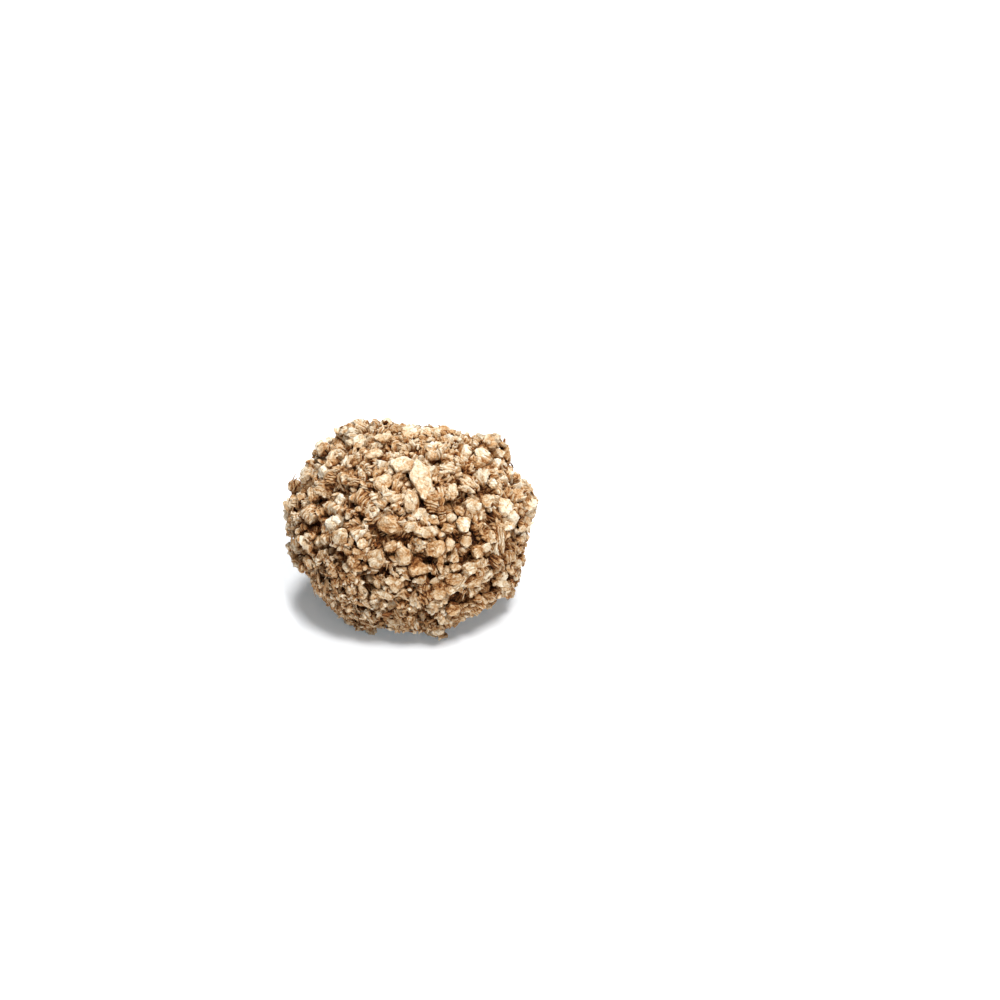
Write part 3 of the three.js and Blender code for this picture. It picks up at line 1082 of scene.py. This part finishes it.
def slivers(name, style):
    rng = np.random.default_rng(style["seed"])
    count = style["count"]
    isHost = isFree & (crumbCover < style["hostCover"]) & (crumbPlaces[:, 2] > style["hostHeight"])
    outer = np.flatnonzero(isHost)
    outward = unit(crumbPlaces[outer] - clumpMiddle)
    lowDown = 1 - crumbPlaces[outer, 2] / clumpSize[2]
    weight = style["evenShare"] + lowDown + style["fineShare"] * inFineZone(outward)
    host = rng.choice(outer, count, p=weight / weight.sum())
    root, _ = placesOn(rng, host, style)
    outward = unit(crumbPlaces[host] - clumpMiddle)
    across = unit(np.cross(outward, rng.normal(size=(count, 3))))
    along = unit(across + style["rise"] * outward * rng.uniform(*style["riseSpread"], (count, 1)))
    side = unit(np.cross(along, outward))
    up = np.cross(side, along)
    length = rng.uniform(*style["length"], count)
    thick = rng.uniform(*style["thick"], count)
    run = np.linspace(0, 1, style["rows"])
    forward = length[:, None] * run
    aside = rng.normal(0, style["sideBend"], (count, 1)) * forward * run
    arch = rng.uniform(*style["archBend"], (count, 1)) * forward * run
    spine = (
        root[:, None]
        + along[:, None] * forward[..., None]
        + side[:, None] * aside[..., None]
        + up[:, None] * arch[..., None]
    )
    taper = np.sin(math.pi * np.clip(run, *style["runRange"])) ** style["blunt"]
    taper = taper * (1 - style["point"] * run)
    taper[[0, -1]] = 0
    ring = np.array([0, 0.5, 1, 1.5]) * math.pi
    wide = (thick * style["broad"] / 2)[:, None, None] * taper[:, None] * np.cos(ring)
    deep = (thick / 2)[:, None, None] * taper[:, None] * np.sin(ring)
    spots = spine[:, :, None] + side[:, None, None] * wide[..., None] - up[:, None, None] * deep[..., None]
    tones = randomTones(rng, style["tones"], count)
    tone = shaded(tones[:, None, None], spots, crumbPlaces[host], 1)
    grain = np.broadcast_to(np.stack([forward, 0 * forward, 0 * forward], -1)[:, :, None], spots.shape)
    grain = grain + np.stack([0 * wide, wide, 2 * deep], -1) + rng.uniform(*grainShift, (count, 1, 1, 3))
    buildPiece(name, onFloor(spots), {"tone": tone, "grain": grain}, fibreMaterial)


slivers("loose_fibres", fibres)
slivers("curled_flakes", curls)

# The imported inside, under the bed: the clump's form drawn in, with lumps on it, and dark as painted shade
# deep in the gaps
inside = {
    "seed": 81,
    "depth": 6.6,
    "rows": 60,
    "columns": 96,
    "lump": 1.2,
    "lumpSize": 5.0,
    "overFloor": 1.0,
    # painted shade: dark, as the gaps are deep in shade here
    "tone": 0.2,
}


def packedInside(style):
    rng = np.random.default_rng(style["seed"])
    direction = ballDirections(style["rows"], style["columns"])[0][None]
    local = direction * (clumpReach(direction) - style["depth"])[..., None]
    lumps = np.abs(lumpy(rng, local, style["lumpSize"]))
    local = local + direction * (style["lump"] * lumps)[..., None]
    spots = onFloor(local + clumpMiddle, style["overFloor"])
    tone = np.full(spots.shape[:3], style["tone"])
    buildPiece("packed_inside", spots, {"tone": tone, "grain": local}, fibreMaterial)


packedInside(inside)

# The stage: a floor of white paper that glows a little for the camera alone, more so far off, so that it
# stays plain white, a pale sky and three lamps. Lengths here are in metres.
stage = {
    "halfSide": 1.5,
    "floor": "#eff0f2",
    "glow": "#dcf0fa",
    "cameraGlow": 0.16,
    "farGlow": 1.0,
    "glowFrom": 0.09,  # distance from the clump's middle where the glow starts to grow
    "glowTo": 0.3,
    "skyLight": 0.16,
    "sky": "#fcfdff",
    "lamps": [  # name, place, side, watts
        ("key", (0.17, -0.38, 0.8), 0.2, 7.6),
        ("back", (-0.02, 0.28, 0.8), 0.22, 6.4),
        ("front", (0.55, -0.85, 0.3), 0.5, 2.6),
    ],
}


# Matt white paper, smooth and without any gloss
def whitePaper(style):
    material = bpy.data.materials.new("white paper")
    material.use_nodes = True
    tree = material.node_tree
    shader = tree.nodes["Principled BSDF"]
    shader.inputs["Base Color"].default_value = colour(style["floor"])
    shader.inputs["Roughness"].default_value = 1.0
    shader.inputs["Specular IOR Level"].default_value = 0.0
    path = addNode(tree, "ShaderNodeLightPath")
    place = addNode(tree, "ShaderNodeTexCoord")
    away = addNode(tree, "ShaderNodeVectorMath", {0: place.outputs["Object"]}, operation="LENGTH")
    growing = addNode(tree, "ShaderNodeMapRange", {
        "Value": away.outputs["Value"], "From Min": style["glowFrom"], "From Max": style["glowTo"],
        "To Min": style["cameraGlow"], "To Max": style["farGlow"]})
    glow = addNode(tree, "ShaderNodeMath", {
        0: path.outputs["Is Camera Ray"], 1: growing.outputs["Result"]}, operation="MULTIPLY")
    shader.inputs["Emission Color"].default_value = colour(style["glow"])
    tree.links.new(glow.outputs[0], shader.inputs["Emission Strength"])
    return material


def makeFloor(style):
    mesh = bpy.data.meshes.new("floor")
    side = style["halfSide"]
    corners = [(-side, -side, 0), (side, -side, 0), (side, side, 0), (-side, side, 0)]
    mesh.from_pydata(corners, [], [(0, 1, 2, 3)])
    mesh.materials.append(whitePaper(style))
    floor = bpy.data.objects.new("floor", mesh)
    bpy.context.scene.collection.objects.link(floor)


# The sky is white where the camera sees it, also in gloss or through glass, and lights the clump far less
def makeSky(style):
    world = bpy.data.worlds.new("studio")
    bpy.context.scene.world = world
    world.use_nodes = True
    tree = world.node_tree
    path = addNode(tree, "ShaderNodeLightPath")
    seen = addNode(tree, "ShaderNodeMath", {
        0: path.outputs["Is Camera Ray"], 1: path.outputs["Is Glossy Ray"]}, operation="MAXIMUM")
    through = addNode(tree, "ShaderNodeMath", {
        0: seen.outputs[0], 1: path.outputs["Is Transmission Ray"]}, operation="MAXIMUM")
    strength = addNode(tree, "ShaderNodeMapRange", {
        "Value": through.outputs[0], "To Min": style["skyLight"], "To Max": 1.0})
    background = tree.nodes["Background"]
    background.inputs["Color"].default_value = colour(style["sky"])
    tree.links.new(strength.outputs["Result"], background.inputs["Strength"])


def makeLamps(style):
    target = Vector((0, 0, clumpSize[2] / 2 * mm))
    for name, place, side, watts in style["lamps"]:
        lamp = bpy.data.objects.new(name, bpy.data.lights.new(name, "AREA"))
        lamp.data.size = side
        lamp.data.energy = watts
        lamp.location = place
        lamp.rotation_euler = (target - Vector(place)).to_track_quat("-Z", "Y").to_euler()
        bpy.context.scene.collection.objects.link(lamp)


makeFloor(stage)
makeSky(stage)
makeLamps(stage)
bpy.context.scene.view_settings.view_transform = "Standard"
print("stage set with", len(stage["lamps"]), "lamps")
